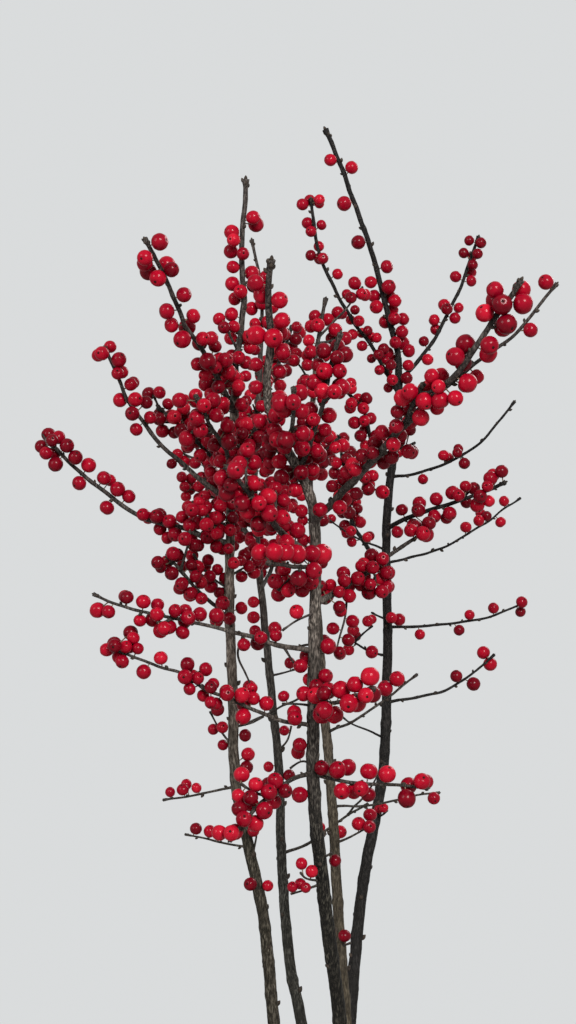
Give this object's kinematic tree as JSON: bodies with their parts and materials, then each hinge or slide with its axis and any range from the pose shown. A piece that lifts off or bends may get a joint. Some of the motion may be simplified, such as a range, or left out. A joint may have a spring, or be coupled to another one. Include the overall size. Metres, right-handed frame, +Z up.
{
  "type": "potted winterberry shrub",
  "caption": "Leafless winterberry shrub in a plain clay pot: slim bare stems rise from the soil to an open crown of dark twigs set with glossy red berries.",
  "frame": {"origin": "centre of the pot's flat underside, on the surface it stands on", "axes": "+Z up along the pot's axis, -Y towards the viewer, +X to the right as the picture shows it"},
  "size_m": [0.2983, 0.3818, 0.8121],
  "materials": {
    "pot_clay": "matte",
    "soil": "matte",
    "bark": "matte",
    "berried_twigs": "satin"
  },
  "bodies": {
    "root": {"pot": "pot_clay", "soil": "soil", "stem_left": "bark", "stem_back": "bark", "stem_front": "bark", "stem_middle": "bark", "stem_right": "bark", "bough_front_right": "bark", "bough_front_left": "bark", "bough_left_low": "bark", "bough_left_upper": "bark", "bough_left_mid": "bark", "bough_left_high": "bark", "bough_left_top": "bark", "bough_right_mid": "bark", "bough_right": "bark", "bough_back_left": "bark", "bough_back_right": "bark", "twigs_left_leader": "berried_twigs", "twigs_back_leader": "berried_twigs", "twigs_front_leader": "berried_twigs", "twigs_middle_leader": "berried_twigs", "twigs_right_leader": "berried_twigs", "twigs_left_top": "berried_twigs", "twigs_left_high": "berried_twigs", "twigs_left_mid": "berried_twigs", "twigs_left_upper": "berried_twigs", "twigs_left_low": "berried_twigs", "twigs_left_inner": "berried_twigs", "twigs_left_foot_upper": "berried_twigs", "twigs_left_foot_lower": "berried_twigs", "twigs_front_low": "berried_twigs", "twigs_front_mid": "berried_twigs", "twigs_front_knot": "berried_twigs", "twigs_front_cluster": "berried_twigs", "twigs_front_rising": "berried_twigs", "twigs_front_centre": "berried_twigs", "twigs_front_ahead": "berried_twigs", "twigs_right_front": "berried_twigs", "twigs_right_outer": "berried_twigs", "twigs_right_knot": "berried_twigs", "twigs_right_top": "berried_twigs", "twigs_centre_top": "berried_twigs", "twigs_right_high": "berried_twigs", "twigs_right_mid": "berried_twigs", "twigs_right_far": "berried_twigs", "twigs_right_lower": "berried_twigs", "twigs_right_low": "berried_twigs", "twigs_right_inner": "berried_twigs", "twigs_middle_low": "berried_twigs", "twigs_middle_foot": "berried_twigs", "twigs_front_foot": "berried_twigs", "twigs_centre_foot": "berried_twigs", "twigs_centre_low": "berried_twigs", "twigs_centre_right": "berried_twigs", "twigs_left_behind": "berried_twigs", "twigs_back_left": "berried_twigs", "twigs_back_high": "berried_twigs", "twigs_back_right": "berried_twigs", "twigs_back_mid": "berried_twigs"}
  },
  "joints": []
}
